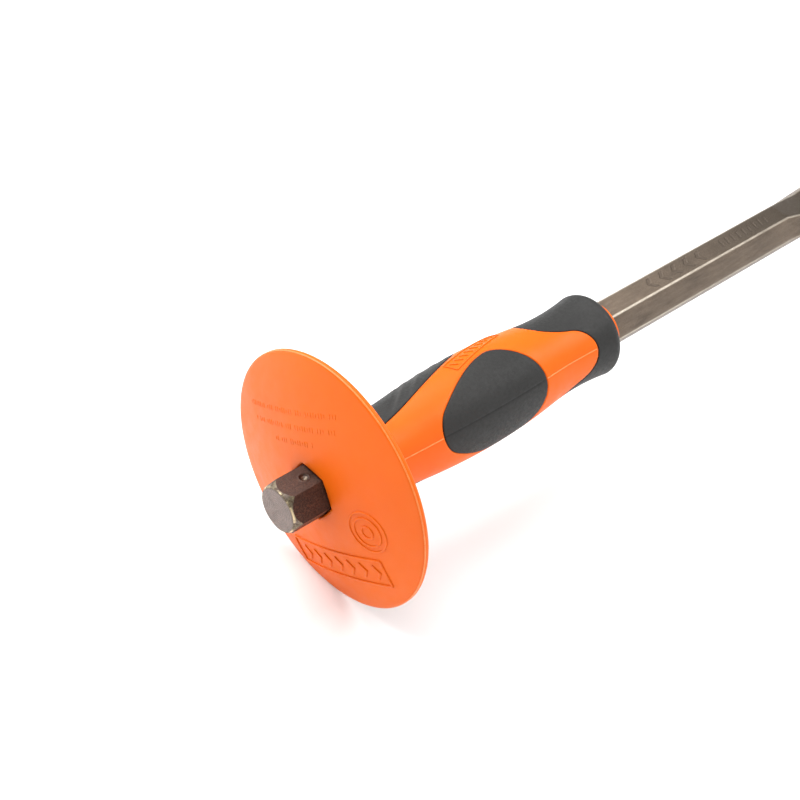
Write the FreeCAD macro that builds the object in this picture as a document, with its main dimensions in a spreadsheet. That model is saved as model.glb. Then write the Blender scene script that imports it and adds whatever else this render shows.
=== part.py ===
"""Hand-guard cold chisel: a hexagonal steel bar with a forged flat blade, and a two-material grip.

The bar runs along +X from the centre of its striking face, with the blade's broad faces square
to Z.  The grip is drawn upright in its own frame and then turned about the bar, so that its
mould seam comes over the middle of a flat.
"""
import FreeCAD, Part
import os
import re
import Sketcher

doc = FreeCAD.newDocument("cold_chisel")
sheet = doc.addObject("Spreadsheet::Sheet", "Sizes")

SIZES = [
    # the steel bar
    ("overall_length", 300.0, "striking face to cutting edge"),
    ("hex_across_flats", 16.0, "hexagonal bar stock"),
    ("face_inset", 0.4, "from the bar's flats in to the edge of the striking face"),
    ("face_chamfer", 2.8, "length of the turned chamfer at the bar's corners"),
    ("stake_x", 10.1, "centre of the stake mark that keeps the grip on"),
    ("stake_radius", 1.4, "mouth of the stake mark"),
    ("stake_tip", 0.2, "radius of the punch's blunt tip"),
    ("stake_depth", 0.9, "depth of the stake mark"),
    ("forging_length", 53.0, "from the end of the full hexagon to the cutting edge"),
    ("flare_length", 20.0, "over which the hexagon is drawn out to the blade"),
    ("blade_width", 25.0, "width of the cutting edge"),
    ("root_width", 22.0, "width of the blade where the flare ends"),
    ("blade_root_thick", 8.6, "blade thickness where the flare ends"),
    ("blade_tip_thick", 4.2, "blade thickness where the bevel starts"),
    ("bevel_length", 3.6, "ground bevel, sixty degrees in all"),
    ("edge_thick", 0.3, "flat left on the cutting edge"),
    ("blade_ridge", 1.5, "depth of the low ridge along each narrow side of the blade"),
    ("root_ridge", 4.2, "depth of that ridge where the flare ends"),
    ("edge_ridge", 0.375, "depth of that ridge at the cutting edge"),
    # the hand guard
    ("guard_x", 13.2, "front of the guard at the bar"),
    ("guard_radius", 44.5, "outer radius of the guard"),
    ("guard_rise", 6.5, "how far the guard's dome stands ahead of its rim"),
    ("hub_margin", 1.2, "flat of the guard outside the bar's corners"),
    ("guard_crown", 160.0, "radius of the guard's gently domed front"),
    ("rim_round", 1.2, "rounding of the rim, half its thickness"),
    ("hub_thick", 5.6, "guard thickness beside the grip"),
    ("root_round", 8.0, "fillet between guard and grip"),
    # the outline of the grip
    ("neck_x", 34.0, "slimmest place behind the guard"),
    ("neck_radius", 14.0, "radius of the grip there"),
    ("belly_x", 81.2, "thickest place of the grip"),
    ("belly_radius", 16.5, "radius of the grip there"),
    ("belly_bow", 250.0, "radius of the belly's long curve"),
    ("waist_x", 122.5, "slimmest place ahead of the belly"),
    ("waist_radius", 14.1, "radius of the grip there"),
    ("lip_x", 138.0, "where the front lip starts to round over"),
    ("lip_round", 3.8, "rounding of the front lip"),
    ("nose_x", 144.8, "front of the grip's nose around the bar"),
    ("nose_wall", 1.1, "wall of the nose outside the bar's corners"),
    ("lip_flat", 0.4, "least flat left on the collar's front between the nose and the rounded lip"),
    ("grip_turn", 30.0, "turn of the grip about the bar, in degrees"),
    # the bore
    ("mouth_clear", 0.35, "gap at each flat in the mouth of the bore"),
    ("mouth_depth", 2.0, "depth of the wider mouth"),
    # the soft pieces, let into the grip
    ("pad_depth", 2.0, "thickness of the soft pieces on the grip"),
    ("skirt_sink", 0.8, "how deep the palm pad is let into the guard's back"),
    ("skirt_proud", 0.6, "how far the palm pad stands off the guard's back"),
    ("skirt_margin", 1.5, "orange rim left outside the palm pad"),
    ("palm_edge", 9.7, "edge of the palm pad beside the guard, on the thumb side"),
    ("palm_bow", 150.0, "radius of the palm pad's long edge"),
    ("palm_turn_x", 79.0, "where that edge starts to close"),
    ("palm_tip_round", 14.0, "radius of the palm pad's front corner"),
    ("thumb_x", 88.0, "widest place of the thumb pad"),
    ("thumb_half", 15.4, "half height of the thumb pad"),
    ("thumb_rear", 56.7, "rear end of the thumb pad"),
    ("thumb_nose", 9.0, "radius of the thumb pad's rear end"),
    ("tongue_x", 120.5, "centre of the round end of the collar's notch"),
    ("tongue_radius", 9.3, "radius of that round end"),
    ("tongue_angle", 76.0, "half angle of that round end, in degrees"),
    ("lobe_x", 109.0, "rear end of the collar's lobes"),
    ("lobe_bow", 45.0, "radius of the notch's flared sides"),
    ("lobe_margin", 1.0, "how far outside the waist those sides are drawn"),
    # cutting outlines
    ("cut_margin", 10.0, "how far the cutting outlines reach past the tool"),
]

for row, (alias, size, note) in enumerate(SIZES, start=1):
    sheet.set("A%d" % row, note)
    sheet.set("B%d" % row, str(size))
    sheet.setAlias("B%d" % row, alias)
doc.recompute()

ALIASES = [alias for alias, size, note in SIZES]


def linked(text):
    """An expression in plain alias names, with each alias pointed at the sheet."""
    return re.sub(r"[a-z][a-z_]+", lambda m: "Sizes." + m[0] if m[0] in ALIASES else m[0], text)


def value(text):
    """The number that an expression gives now."""
    return float(sheet.evalExpression(linked(text)))


def plane_of(body, role):
    """One of the body's own origin planes."""
    return next(f for f in body.Origin.OriginFeatures if f.Role == role)


def new_sketch(body, name, role, offset=None):
    """A sketch on one of the body's origin planes, moved along its normal by offset."""
    sketch = body.newObject("Sketcher::SketchObject", name)
    sketch.AttachmentSupport = [(plane_of(body, role), "")]
    sketch.MapMode = "FlatFace"
    if offset:
        sketch.setExpression("AttachmentOffset.Base.z", linked(offset))
    return sketch


def fix_size(sketch, constraint, text):
    """Add a dimension to the sketch and bind it to the sheet."""
    index = sketch.addConstraint(constraint)
    sketch.setExpression("Constraints[%d]" % index, linked(text))


def draw_loop(sketch, steps):
    """Close one outline.  Each step is (x, y) for a straight side to that corner, or
    (x, y, radius, turn) for an arc to it that turns left (1) or right (-1)."""
    corners = [FreeCAD.Vector(value(step[0]), value(step[1]), 0) for step in steps]
    count = len(steps)
    ends = []
    for i, step in enumerate(steps):
        start = corners[i - 1]
        end = corners[i]
        if len(step) == 2:
            index = sketch.addGeometry(Part.LineSegment(start, end), False)
            ends.append((index, 1, 2))
            continue
        radius = value(step[2])
        chord = end - start
        side = FreeCAD.Vector(chord.y, -chord.x, 0).normalize() * step[3]
        bulge = radius - (radius ** 2 - (chord.Length / 2) ** 2) ** 0.5
        middle = (start + end) * 0.5 + side * bulge
        index = sketch.addGeometry(Part.Arc(start, middle, end), False)
        # an arc's first point is always the one its counter-clockwise run starts from
        ends.append((index, 1, 2) if step[3] > 0 else (index, 2, 1))
    for i in range(count):
        index, start_point, end_point = ends[i]
        following, next_start, next_end = ends[(i + 1) % count]
        sketch.addConstraint(Sketcher.Constraint("Coincident", index, end_point, following, next_start))
    for i, step in enumerate(steps):
        index, start_point, end_point = ends[i]
        x_gap = Sketcher.Constraint("DistanceX", -1, 1, index, end_point, corners[i].x)
        y_gap = Sketcher.Constraint("DistanceY", -1, 1, index, end_point, corners[i].y)
        fix_size(sketch, x_gap, step[0])
        fix_size(sketch, y_gap, step[1])
        if len(step) == 4:
            fix_size(sketch, Sketcher.Constraint("Radius", index, value(step[2])), step[2])


def hexagon(across, upright=False):
    """Corners of a hexagon across the given flats, with flats above and below, or corners if upright."""
    corner = "(%s)/sqrt(3)" % across
    flat = "(%s)/2" % across
    points = [(corner, "0"), (corner + "/2", flat), ("-" + corner + "/2", flat),
              ("-" + corner, "0"), ("-" + corner + "/2", "-" + flat), (corner + "/2", "-" + flat)]
    return [(y, x) for x, y in points] if upright else points


def blade_section(width, thick, ridge):
    """Six corners of a flattened section: two broad faces and a low ridge along each narrow side."""
    half = "(%s)/2" % width
    inner = "(%s)/2 - (%s)" % (width, ridge)
    flat = "(%s)/2" % thick
    return [(half, "0"), (inner, flat), ("-(" + inner + ")", flat),
            ("-" + half, "0"), ("-(" + inner + ")", "-" + flat), (inner, "-" + flat)]


def new_body(label):
    body = doc.addObject("PartDesign::Body", label)
    body.Label = label
    return body


def pad(body, sketch, length):
    feature = body.newObject("PartDesign::Pad", sketch.Name + "_pad")
    feature.Profile = sketch
    feature.setExpression("Length", linked(length))
    sketch.Visibility = False
    return feature


def revolve(body, sketch, kind="PartDesign::Revolution", angle=360.0):
    """Turn the profile about the bar's axis."""
    feature = body.newObject(kind, sketch.Name + "_turned")
    feature.Profile = sketch
    feature.ReferenceAxis = (sketch, ["H_Axis"])
    feature.Angle = angle
    return feature


def pocket_through(body, sketch):
    """Cut the sketch right through, both ways."""
    feature = body.newObject("PartDesign::Pocket", sketch.Name + "_cut")
    feature.Profile = sketch
    feature.Type = "ThroughAll"
    feature.Midplane = True
    return feature


def turn_grip(piece):
    """Turn a piece of the grip about the bar, from its upright frame into the part's frame."""
    piece.setExpression("Placement.Rotation.Axis.x", "1")
    piece.setExpression("Placement.Rotation.Axis.z", "0")
    piece.setExpression("Placement.Rotation.Angle", linked("-grip_turn"))


# ---- expressions that several pieces share -------------------------------------------------
RIM_X = "guard_x + guard_rise"
RIM_BACK = "guard_x + guard_rise + 2*rim_round"
HUB_BACK = "guard_x + hub_thick"
CORNER_RADIUS = "hex_across_flats/sqrt(3)"
NOSE_RADIUS = "hex_across_flats/sqrt(3) + nose_wall"
SKIRT_RADIUS = "guard_radius - skirt_margin"
OUTSIDE = "guard_radius + cut_margin"
BEHIND = "-cut_margin"
AHEAD = "nose_x + cut_margin"


def bow_sum(side_x, side_radius):
    """Radius of the belly's curve plus that of the hollow curve it meets smoothly at side_x."""
    drop = "(belly_radius - %s)" % side_radius
    return "(((%s - belly_x)^2 + %s^2)/(2*%s))" % (side_x, drop, drop)


def meeting(side_x, side_radius, depth):
    """Where the belly's curve meets the hollow curve, at a depth below the grip's surface."""
    total = bow_sum(side_x, side_radius)
    share = "((belly_bow - %s)/%s)" % (depth, total)
    x = "belly_x + (%s - belly_x)*%s" % (side_x, share)
    radius = "belly_radius - belly_bow + (%s - (belly_radius - %s))*%s" % (total, side_radius, share)
    return x, radius


def lip_radius(depth):
    """Radius of the grip's outline where the lip starts, at a depth below the surface."""
    bow = "(%s - belly_bow + %s)" % (bow_sum("waist_x", "waist_radius"), depth)
    return "waist_radius - %s + %s - sqrt(%s^2 - (lip_x - waist_x)^2)" % (depth, bow, bow)


# the lip's rounding, limited by the wall between the lip and the nose
LIP_ROUND = "min(lip_round; (%s) - (%s) - lip_flat)" % (lip_radius("0"), NOSE_RADIUS)
FRONT_X = "lip_x + " + LIP_ROUND


def grip_curve(depth):
    """The grip's long outline from its neck to its lip, as steps for draw_loop, at a depth."""
    neck_bow = "%s - belly_bow + %s" % (bow_sum("neck_x", "neck_radius"), depth)
    waist_bow = "%s - belly_bow + %s" % (bow_sum("waist_x", "waist_radius"), depth)
    rear = meeting("neck_x", "neck_radius", depth)
    front = meeting("waist_x", "waist_radius", depth)
    return [("neck_x", "neck_radius - %s" % depth),
            rear + (neck_bow, 1),
            front + ("belly_bow - %s" % depth, -1),
            ("lip_x", lip_radius(depth), waist_bow, 1)]


def curve_back(steps, start):
    """The same run of steps taken the other way, from its last corner to the given start."""
    corners = [start] + [step[:2] for step in steps]
    sides = [step[2:] for step in steps]
    back = []
    for i in range(len(steps) - 1, -1, -1):
        side = (sides[i][0], -sides[i][1]) if sides[i] else ()
        back.append(corners[i] + side)
    return back


# ---- the steel bar --------------------------------------------------------------------------
def make_bar():
    bar = new_body("chisel_bar")
    flare_x = "overall_length - forging_length"
    stock = new_sketch(bar, "bar_stock", "YZ_Plane")
    draw_loop(stock, hexagon("hex_across_flats"))
    pad(bar, stock, flare_x)

    sections = [
        ("flare_start", flare_x, hexagon("hex_across_flats")),
        ("blade_root", flare_x + " + flare_length",
         blade_section("root_width", "blade_root_thick", "root_ridge")),
        ("bevel_start", "overall_length - bevel_length",
         blade_section("blade_width", "blade_tip_thick", "blade_ridge")),
        ("cutting_edge", "overall_length", blade_section("blade_width", "edge_thick", "edge_ridge")),
    ]
    drawn = []
    for name, place, corners in sections:
        section = new_sketch(bar, name, "YZ_Plane", place)
        draw_loop(section, corners)
        drawn.append(section)
    doc.recompute()
    forging = bar.newObject("PartDesign::AdditiveLoft", "forged_blade")
    forging.Profile = drawn[0]
    forging.Sections = drawn[1:]
    forging.Ruled = True

    corner = new_sketch(bar, "face_chamfer_profile", "XZ_Plane")
    draw_loop(corner, [("0", "hex_across_flats/2 - face_inset"), ("face_chamfer", CORNER_RADIUS),
                       ("face_chamfer", CORNER_RADIUS + " + cut_margin"), ("0", CORNER_RADIUS + " + cut_margin")])
    revolve(bar, corner, "PartDesign::Groove")

    doc.recompute()
    stake = bar.newObject("PartDesign::SubtractiveCone", "stake_mark")
    stake.AttachmentSupport = [(plane_of(bar, "XY_Plane"), "")]
    stake.MapMode = "FlatFace"
    stake.setExpression("AttachmentOffset.Base.x", linked("stake_x"))
    stake.setExpression("AttachmentOffset.Base.z", linked("hex_across_flats/2 - stake_depth"))
    stake.setExpression("Radius1", linked("stake_tip"))
    stake.setExpression("Radius2", linked("stake_radius"))
    stake.setExpression("Height", linked("stake_depth"))
    return bar


# ---- the soft pieces ------------------------------------------------------------------------
def make_palm_pad():
    """Soft skin over the palm side of the grip and the back of the guard."""
    palm = new_body("palm_pad")
    outer = grip_curve("0")
    inner = grip_curve("pad_depth")
    steps = [
        ("%s - skirt_sink" % RIM_BACK, SKIRT_RADIUS),
        ("%s + skirt_proud" % RIM_BACK, SKIRT_RADIUS),
        ("%s + skirt_proud" % HUB_BACK, "neck_radius + root_round"),
        ("%s + skirt_proud + root_round" % HUB_BACK, "neck_radius", "root_round", 1),
    ] + outer + [inner[-1][:2]]
    steps += curve_back(inner[1:], inner[0][:2])
    steps += [
        ("%s - skirt_sink + root_round" % HUB_BACK, "neck_radius - pad_depth"),
        ("%s - skirt_sink" % HUB_BACK, "neck_radius - pad_depth + root_round", "root_round", -1),
    ]
    profile = new_sketch(palm, "palm_profile", "XZ_Plane")
    draw_loop(profile, steps)
    revolve(palm, profile)

    # everything outside the palm's outline, seen square to the seam, is cut away
    turn = "(palm_turn_x - (%s))" % RIM_BACK
    drop = "(palm_bow - sqrt(palm_bow^2 - %s^2))" % turn
    cut = new_sketch(palm, "palm_outline", "XY_Plane")
    tip_y = "-(palm_edge - %s) + palm_tip_round*sqrt(1 - (%s/palm_bow)^2)" % (drop, turn)
    draw_loop(cut, [
        (BEHIND, "-palm_edge"),
        (RIM_BACK, "-palm_edge"),
        ("palm_turn_x", "-(palm_edge - %s)" % drop, "palm_bow", 1),
        ("palm_turn_x + palm_tip_round*(1 - %s/palm_bow)" % turn, tip_y, "palm_tip_round", 1),
        ("palm_turn_x + palm_tip_round*(1 - %s/palm_bow)" % turn, OUTSIDE),
        (AHEAD, OUTSIDE),
        (AHEAD, "-(%s)" % OUTSIDE),
        (BEHIND, "-(%s)" % OUTSIDE),
    ])
    pocket_through(palm, cut)
    return palm


def make_sleeve(label, angle=360.0):
    """A ring of pad_depth that follows the grip from its neck to its lip."""
    sleeve = new_body(label)
    outer = grip_curve("0")
    inner = grip_curve("pad_depth")
    profile = new_sketch(sleeve, label + "_profile", "XZ_Plane")
    draw_loop(profile, outer + [inner[-1][:2]] + curve_back(inner[1:], inner[0][:2]))
    revolve(sleeve, profile, angle=angle)
    return sleeve


def make_thumb_pad():
    """Soft egg-shaped pad on the thumb side, its blunt end towards the blade."""
    thumb = make_sleeve("thumb_pad", 180.0)
    reach = "(thumb_x - thumb_rear)"
    side = ("((2*%s*thumb_nose - %s^2 - thumb_half^2)/(2*thumb_nose - 2*thumb_half))" % (reach, reach))
    share = "(thumb_nose/(%s - thumb_nose))" % side
    join_x = "thumb_rear + thumb_nose - (%s - thumb_nose)*%s" % (reach, share)
    join_z = "(%s - thumb_half)*%s" % (side, share)
    cut = new_sketch(thumb, "thumb_outline", "XZ_Plane")
    draw_loop(cut, [(BEHIND, "-(%s)" % OUTSIDE), (AHEAD, "-(%s)" % OUTSIDE),
                    (AHEAD, OUTSIDE), (BEHIND, OUTSIDE)])
    draw_loop(cut, [
        ("thumb_x", "-thumb_half", side, 1),
        ("thumb_x + thumb_half", "0", "thumb_half", 1),
        ("thumb_x", "thumb_half", "thumb_half", 1),
        (join_x, join_z, side, 1),
        (join_x, "-(%s)" % join_z, "thumb_nose", 1),
    ])
    pocket_through(thumb, cut)
    return thumb


def make_front_collar():
    """Soft collar round the front of the grip, with a lobe above and below and a notch each side."""
    collar = new_body("front_collar")
    outer = grip_curve("0")
    inner = grip_curve("pad_depth")
    lip = lip_radius("0")
    profile = new_sketch(collar, "collar_profile", "XZ_Plane")
    draw_loop(profile, outer + [
        (FRONT_X, "(%s) - %s" % (lip, LIP_ROUND), LIP_ROUND, -1),
        (FRONT_X, NOSE_RADIUS),
        ("%s - pad_depth" % FRONT_X, NOSE_RADIUS),
        ("%s - pad_depth" % FRONT_X, "(%s) - %s" % (lip, LIP_ROUND)),
        ("lip_x", lip_radius("pad_depth"), LIP_ROUND + " - pad_depth", 1),
    ] + curve_back(inner[1:], inner[0][:2]))
    revolve(collar, profile)

    end_x = "tongue_x + tongue_radius*cos(tongue_angle)"
    end_z = "tongue_radius*sin(tongue_angle)"
    lobe_z = "waist_radius + lobe_margin"
    cut = new_sketch(collar, "collar_outline", "XZ_Plane")
    draw_loop(cut, [
        (BEHIND, "-(%s)" % OUTSIDE),
        ("lobe_x - cut_margin", "-(%s)" % OUTSIDE),
        ("lobe_x", "-(%s)" % lobe_z),
        (end_x, "-" + end_z, "lobe_bow", -1),
        (end_x, end_z, "tongue_radius", 1),
        ("lobe_x", lobe_z, "lobe_bow", -1),
        ("lobe_x - cut_margin", OUTSIDE),
        (BEHIND, OUTSIDE),
    ])
    pocket_through(collar, cut)
    return collar


# ---- the hard grip --------------------------------------------------------------------------
def make_grip_blank():
    """The hard grip with its guard, before the soft pieces are let into it."""
    blank = new_body("grip_blank")
    lip = lip_radius("0")
    profile = new_sketch(blank, "grip_profile", "XZ_Plane")
    draw_loop(profile, [
        ("guard_x", "0"),
        ("guard_x", CORNER_RADIUS + " + hub_margin"),
        (RIM_X, "guard_radius - rim_round", "guard_crown", -1),
        ("%s + rim_round" % RIM_X, "guard_radius", "rim_round", -1),
        (RIM_BACK, "guard_radius - rim_round", "rim_round", -1),
        (HUB_BACK, "neck_radius + root_round"),
        ("%s + root_round" % HUB_BACK, "neck_radius", "root_round", 1),
    ] + grip_curve("0") + [
        (FRONT_X, "(%s) - %s" % (lip, LIP_ROUND), LIP_ROUND, -1),
        (FRONT_X, NOSE_RADIUS),
        ("nose_x", NOSE_RADIUS),
        ("nose_x", "0"),
    ])
    revolve(blank, profile)

    bore = new_sketch(blank, "bore_outline", "YZ_Plane")
    draw_loop(bore, hexagon("hex_across_flats", upright=True))
    pocket_through(blank, bore)

    mouth = new_sketch(blank, "mouth_outline", "YZ_Plane", "guard_x + mouth_depth")
    draw_loop(mouth, hexagon("hex_across_flats + 2*mouth_clear", upright=True))
    relief = blank.newObject("PartDesign::Pocket", "mouth_relief")
    relief.Profile = mouth
    relief.Type = "Length"
    relief.setExpression("Length", linked("mouth_depth + guard_rise"))
    return blank


def make_grip_body(blank, soft_pieces):
    """The hard grip with a recess for each soft piece."""
    soft = doc.addObject("Part::MultiFuse", "soft_pieces")
    soft.Shapes = soft_pieces
    grip = doc.addObject("Part::Cut", "grip_body")
    grip.Label = "grip_body"
    grip.Base = blank
    grip.Tool = soft
    return grip


bar = make_bar()
palm = make_palm_pad()
thumb = make_thumb_pad()
collar = make_front_collar()
blank = make_grip_blank()
for piece in (palm, thumb, collar, blank):
    turn_grip(piece)
grip = make_grip_body(blank, [palm, thumb, collar])
doc.recompute()

faults = [item.Name for item in doc.Objects if "Invalid" in item.State or "Error" in item.State]
if faults:
    raise RuntimeError("these objects failed: " + ", ".join(faults))

os.makedirs("parts", exist_ok=True)
for piece in (bar, grip, palm, thumb, collar):
    shape = piece.Shape
    if shape.isNull() or not shape.isValid() or not shape.Solids:
        raise RuntimeError(piece.Label + " is not a valid solid")
    shape.exportStep("parts/%s.step" % piece.Label)
    print(piece.Label, len(shape.Solids), "solid", round(shape.Volume, 1), shape.BoundBox)
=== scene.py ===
"""Looks of a hand-guard cold chisel, laid out as a Blender add-on.

The bar runs along +X from its striking face.  The grip is worked out upright, with its top
along +Z and the thumb's side along -Y, and is then turned about the bar.
"""

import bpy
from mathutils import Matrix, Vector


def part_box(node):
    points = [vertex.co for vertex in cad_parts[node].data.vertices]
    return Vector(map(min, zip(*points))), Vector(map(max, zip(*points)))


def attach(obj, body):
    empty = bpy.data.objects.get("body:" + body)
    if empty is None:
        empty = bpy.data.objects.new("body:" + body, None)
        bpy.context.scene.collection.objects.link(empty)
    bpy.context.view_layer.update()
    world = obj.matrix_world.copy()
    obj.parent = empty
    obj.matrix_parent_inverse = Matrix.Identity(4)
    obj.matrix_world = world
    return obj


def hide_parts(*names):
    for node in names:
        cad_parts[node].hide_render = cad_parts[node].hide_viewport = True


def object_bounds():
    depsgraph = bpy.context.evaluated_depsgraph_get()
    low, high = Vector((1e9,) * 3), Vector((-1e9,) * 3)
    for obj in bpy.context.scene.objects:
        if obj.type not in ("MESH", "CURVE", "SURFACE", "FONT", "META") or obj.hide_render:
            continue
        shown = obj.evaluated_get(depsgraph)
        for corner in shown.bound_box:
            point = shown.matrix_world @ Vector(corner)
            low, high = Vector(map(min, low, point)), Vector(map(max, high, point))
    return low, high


bl_info = {
    "name": "Cold Chisel with Hand Guard",
    "version": (1, 0, 0),
    "blender": (4, 5, 0),
    "location": "View3D > Sidebar > Chisel",
    "description": "Builds the visual pieces of a hand-guard cold chisel around its packed frame",
    "category": "Add Mesh",
}

import math

import bpy
import numpy as np
from bpy.props import FloatProperty, FloatVectorProperty, IntProperty, PointerProperty
from mathutils import Matrix, Vector

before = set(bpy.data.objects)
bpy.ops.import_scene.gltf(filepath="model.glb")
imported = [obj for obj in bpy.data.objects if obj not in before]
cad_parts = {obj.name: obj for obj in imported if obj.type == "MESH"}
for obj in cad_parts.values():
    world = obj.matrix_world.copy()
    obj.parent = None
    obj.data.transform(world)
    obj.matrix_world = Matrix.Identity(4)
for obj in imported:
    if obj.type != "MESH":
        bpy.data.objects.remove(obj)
CAD_BOX = [list(corner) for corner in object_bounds()]
BAR_LOW, BAR_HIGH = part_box("chisel_bar")
GRIP_LOW, GRIP_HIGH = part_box("grip_body")
MM = 0.001


def length(name, default, description):
    """A size in metres, shown in the scene's units."""
    return FloatProperty(name=name, default=default, description=description,
                         unit="LENGTH", precision=5)


def colour(name, default, description):
    """A linear colour with no alpha."""
    return FloatVectorProperty(name=name, default=default, description=description,
                               subtype="COLOR", size=3, min=0.0, max=1.0)


# ---- sizes and colours ----------------------------------------------------------------------
class BarSizes(bpy.types.PropertyGroup):
    overall: length("Overall length", BAR_HIGH[0], "Striking face to cutting edge")
    across_flats: length("Across flats", 2 * BAR_HIGH[2], "Hexagonal bar stock")
    face_inset: length("Face inset", 0.4 * MM, "From the flats in to the edge of the striking face")
    face_chamfer: length("Face chamfer", 2.8 * MM, "Length of the turned chamfer at the corners")
    stake_x: length("Stake mark place", 10.1 * MM, "Centre of the punched mark")
    stake_radius: length("Stake mark radius", 1.4 * MM, "Mouth of the punched mark")
    stake_depth: length("Stake mark depth", 0.9 * MM, "Depth of the punched mark")
    forging: length("Forging length", 53 * MM, "End of the full hexagon to the cutting edge")
    flare: length("Flare length", 20 * MM, "Over which the hexagon is drawn out")
    blade_width: length("Blade width", BAR_HIGH[1] - BAR_LOW[1], "Width of the cutting edge")
    root_thick: length("Root thickness", 8.6 * MM, "Blade thickness where the flare ends")
    root_width: length("Root width", 22 * MM, "Blade width where the flare ends")
    root_ridge: length("Root ridge", 4.2 * MM, "Depth of the side ridge where the flare ends")
    tip_thick: length("Tip thickness", 4.2 * MM, "Blade thickness where the bevel starts")
    bevel: length("Bevel length", 3.6 * MM, "Ground bevel")
    edge_thick: length("Edge thickness", 0.3 * MM, "Flat left on the cutting edge")
    ridge: length("Side ridge", 1.5 * MM, "Depth of the ridge along the blade's narrow sides")


class GripSizes(bpy.types.PropertyGroup):
    guard_x: length("Guard front", GRIP_LOW[0], "Front of the guard at the bar")
    guard_radius: length("Guard radius", GRIP_HIGH[2], "Outer radius of the guard")
    guard_rise: length("Guard rise", 6.5 * MM, "How far the dome stands ahead of the rim")
    guard_crown: length("Guard crown", 160 * MM, "Radius of the domed front")
    hub_margin: length("Hub margin", 1.2 * MM, "Flat of the guard outside the bar's corners")
    rim_round: length("Rim rounding", 1.2 * MM, "Half the rim's thickness")
    hub_thick: length("Hub thickness", 5.6 * MM, "Guard thickness beside the grip")
    root_round: length("Root fillet", 8 * MM, "Fillet between guard and grip")
    neck_x: length("Neck place", 34 * MM, "Slimmest place behind the guard")
    neck_radius: length("Neck radius", 14 * MM, "Radius there")
    belly_x: length("Belly place", 81.2 * MM, "Thickest place")
    belly_radius: length("Belly radius", 16.5 * MM, "Radius there")
    belly_bow: length("Belly bow", 250 * MM, "Radius of the belly's long curve")
    waist_x: length("Waist place", 122.5 * MM, "Slimmest place ahead of the belly")
    waist_radius: length("Waist radius", 14.1 * MM, "Radius there")
    lip_x: length("Lip place", 138.0 * MM, "Where the front lip starts to round over")
    lip_round: length("Lip rounding", 3.8 * MM, "Rounding of the front lip")
    nose_x: length("Nose front", GRIP_HIGH[0], "Front of the nose around the bar")
    nose_wall: length("Nose wall", 1.1 * MM, "Wall of the nose outside the bar's corners")
    lip_flat: length("Lip flat", 0.4 * MM, "Least flat between the nose and the rounded lip")
    mouth_clear: length("Mouth clearance", 0.35 * MM, "Gap at each flat in the bore's mouth")
    mouth_depth: length("Mouth depth", 2 * MM, "Depth of the wider mouth")
    turn: FloatProperty(name="Grip turn", default=math.radians(-30), subtype="ANGLE",
                        description="Turn of the grip about the bar")
    around: IntProperty(name="Steps around", default=240, min=60,
                        description="Grid steps around the grip")


class SoftSizes(bpy.types.PropertyGroup):
    depth: length("Pad depth", 2 * MM, "Thickness of the soft pieces")
    skirt_sink: length("Skirt sink", 0.8 * MM, "How deep the palm pad is let into the guard's back")
    skirt_proud: length("Skirt proud", 0.6 * MM, "How far it stands off the guard's back")
    skirt_margin: length("Skirt margin", 1.5 * MM, "Hard rim left outside the palm pad")
    crease: length("Crease", 0.26 * MM, "Depth of the crease where soft meets hard")
    palm_edge: length("Palm edge", 9.7 * MM, "Edge of the palm pad beside the guard")
    palm_bow: length("Palm bow", 150 * MM, "Radius of the palm pad's long edge")
    palm_turn_x: length("Palm turn", 79 * MM, "Where that edge starts to close")
    palm_tip: length("Palm tip", 14 * MM, "Radius of the palm pad's front corner")
    rib_first: length("First rib", 54.5 * MM, "Place of the rearmost rib at the top of the grip")
    rib_pitch: length("Rib pitch", 6.7 * MM, "From rib to rib")
    rib_height: length("Rib height", 0.16 * MM, "Height of a rib")
    part_line: length("Parting line", 0.16 * MM, "Depth of the mould's parting line across the thumb pad")
    rib_count: IntProperty(name="Ribs", default=4, min=0, description="How many ribs")
    thumb_x: length("Thumb place", 88 * MM, "Widest place of the thumb pad")
    thumb_half: length("Thumb half height", 15.4 * MM, "Half height of the thumb pad")
    thumb_rear: length("Thumb rear", 56.7 * MM, "Rear end of the thumb pad")
    thumb_nose: length("Thumb nose", 9 * MM, "Radius of the thumb pad's rear end")
    tongue_x: length("Notch centre", 120.5 * MM, "Centre of the notch's round end")
    tongue_radius: length("Notch radius", 9.3 * MM, "Radius of the notch's round end")
    tongue_angle: FloatProperty(name="Notch angle", default=math.radians(76), subtype="ANGLE",
                                description="Half angle of the notch's round end")
    lobe_x: length("Lobe end", 109 * MM, "Rear end of the collar's lobes")
    lobe_bow: length("Lobe bow", 45 * MM, "Radius of the notch's flared sides")


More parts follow.
